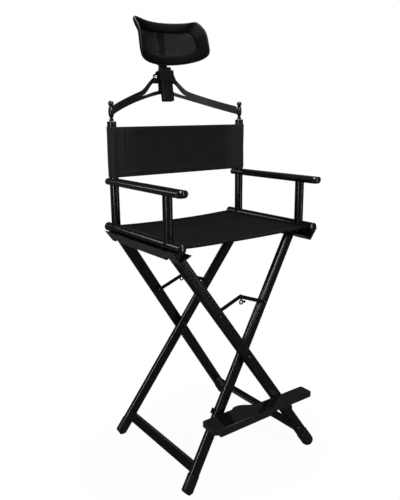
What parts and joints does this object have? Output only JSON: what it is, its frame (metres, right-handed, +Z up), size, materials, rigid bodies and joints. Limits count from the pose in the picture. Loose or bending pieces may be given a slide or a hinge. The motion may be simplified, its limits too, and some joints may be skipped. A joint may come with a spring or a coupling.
{
  "type": "folding makeup chair",
  "caption": "Tall black folding makeup chair with scissor legs, canvas seat and back, footrest and a curved mesh headrest on a bowed crossbar.",
  "frame": {"origin": "on the floor, under the middle of the chair's overall box", "axes": "+Z up from the floor, -Y towards the front where the sitter faces, +X to the right as seen from the front"},
  "size_m": [0.554, 0.5412, 1.3938],
  "materials": {
    "black_metal": "semi-gloss black powder coat",
    "bright_metal": "bright zinc-plated and polished",
    "black_plastic": "satin black moulded plastic",
    "canvas": "matte black woven canvas",
    "mesh": "black open mesh over padding",
    "rubber": "matte black rubber"
  },
  "bodies": {
    "left_side": {"left_seat_rail": "black_metal", "left_rail_plugs": "black_plastic", "left_front_upright": "black_metal", "left_rear_post": "black_metal", "left_post_cap": "black_plastic", "left_arm": "black_metal", "left_arm_caps": "black_plastic", "left_hinge_channel": "black_metal", "left_hinge_pins": "bright_metal", "seat_canvas": "canvas", "back_canvas": "canvas"},
    "right_side": {"right_seat_rail": "black_metal", "right_rail_plugs": "black_plastic", "right_front_upright": "black_metal", "right_rear_post": "black_metal", "right_post_cap": "black_plastic", "right_arm": "black_metal", "right_arm_caps": "black_plastic", "right_hinge_channel": "black_metal", "right_hinge_pins": "bright_metal"},
    "outer_legs": {"outer_front_leg": "black_metal", "outer_rear_leg": "black_metal", "outer_bottom_rail": "black_metal", "outer_foot_caps": "rubber", "crossing_bolts": "bright_metal", "crossing_spacers": "rubber", "outer_stay_rivets": "bright_metal", "brace_bolt": "bright_metal", "rest_bracket": "black_metal"},
    "inner_legs": {"inner_front_leg": "black_metal", "inner_rear_leg": "black_metal", "inner_bottom_rail": "black_metal", "inner_foot_caps": "rubber", "inner_stay_rivets": "bright_metal", "footrest_clamp": "black_plastic", "footrest_pivot_bolt": "bright_metal"},
    "outer_stay_pair": {"outer_stays": "black_metal"},
    "inner_stay_pair": {"inner_stays": "black_metal", "stay_lock": "bright_metal"},
    "footrest": {"footrest_board": "black_plastic"},
    "brace": {"footrest_brace": "black_metal"},
    "headrest_bar": {"crossbar": "black_metal", "left_spindle": "black_metal", "right_spindle": "black_metal", "clamp_plate": "black_metal", "clamp_bolts": "bright_metal"},
    "headrest_post": {"headrest_stem": "black_metal", "tilt_pin": "bright_metal"},
    "headrest": {"headrest_yoke": "black_metal", "headrest_frame": "mesh", "headrest_mesh": "mesh"}
  },
  "joints": [
    {"name": "fold", "type": "hinge", "parent": "left_side", "child": "outer_legs", "pos_m": [-0.248, -0.00064, 0.72], "axis": [0, 1, 0], "range_deg": [0, 25], "deforming": ["seat_canvas", "back_canvas"]},
    {"name": "crossing", "type": "hinge", "parent": "outer_legs", "child": "inner_legs", "pos_m": [0, -0.00064, 0.3679], "axis": [0, 1, 0], "range_deg": [-50, 0]},
    {"name": "right_hinge", "type": "hinge", "parent": "inner_legs", "child": "right_side", "pos_m": [0.248, -0.00064, 0.72], "axis": [0, 1, 0], "range_deg": [0, 25]},
    {"name": "outer_stay_turn", "type": "hinge", "parent": "outer_legs", "child": "outer_stay_pair", "pos_m": [-0.09843, -0.00064, 0.515], "axis": [0, -1, 0], "range_deg": [0, 79.5]},
    {"name": "inner_stay_turn", "type": "hinge", "parent": "inner_legs", "child": "inner_stay_pair", "pos_m": [0.09843, -0.00064, 0.515], "axis": [0, 1, 0], "range_deg": [0, 79.5]},
    {"name": "footrest_fold", "type": "hinge", "parent": "inner_legs", "child": "footrest", "pos_m": [-0.107, -0.21864, 0.208], "axis": [0, -1, 0], "range_deg": [0, 56.25]},
    {"name": "brace_fold", "type": "hinge", "parent": "outer_legs", "child": "brace", "pos_m": [0.18521, -0.23864, 0.07672], "axis": [0, 1, 0], "range_deg": [0, 17]},
    {"name": "headrest_lift_off", "type": "slide", "parent": "left_side", "child": "headrest_bar", "axis": [0, 0, 1], "range_m": [0, 0.12]},
    {"name": "headrest_height", "type": "slide", "parent": "headrest_bar", "child": "headrest_post", "axis": [0, 0.1687, 0.9857], "range_m": [-0.012, 0.04]},
    {"name": "headrest_tilt", "type": "hinge", "parent": "headrest_post", "child": "headrest", "pos_m": [0, 0.25642, 1.26], "axis": [1, 0, 0], "range_deg": [-22, 14]}
  ],
  "couplings": [
    {"joint": "crossing", "follows": "fold", "ratio": -2},
    {"joint": "right_hinge", "follows": "fold", "ratio": 1},
    {"joint": "outer_stay_turn", "follows": "fold", "ratio": 3.1799},
    {"joint": "inner_stay_turn", "follows": "fold", "ratio": 3.1799},
    {"joint": "footrest_fold", "follows": "fold", "ratio": 2.25},
    {"joint": "brace_fold", "follows": "fold", "ratio": 0.68}
  ]
}
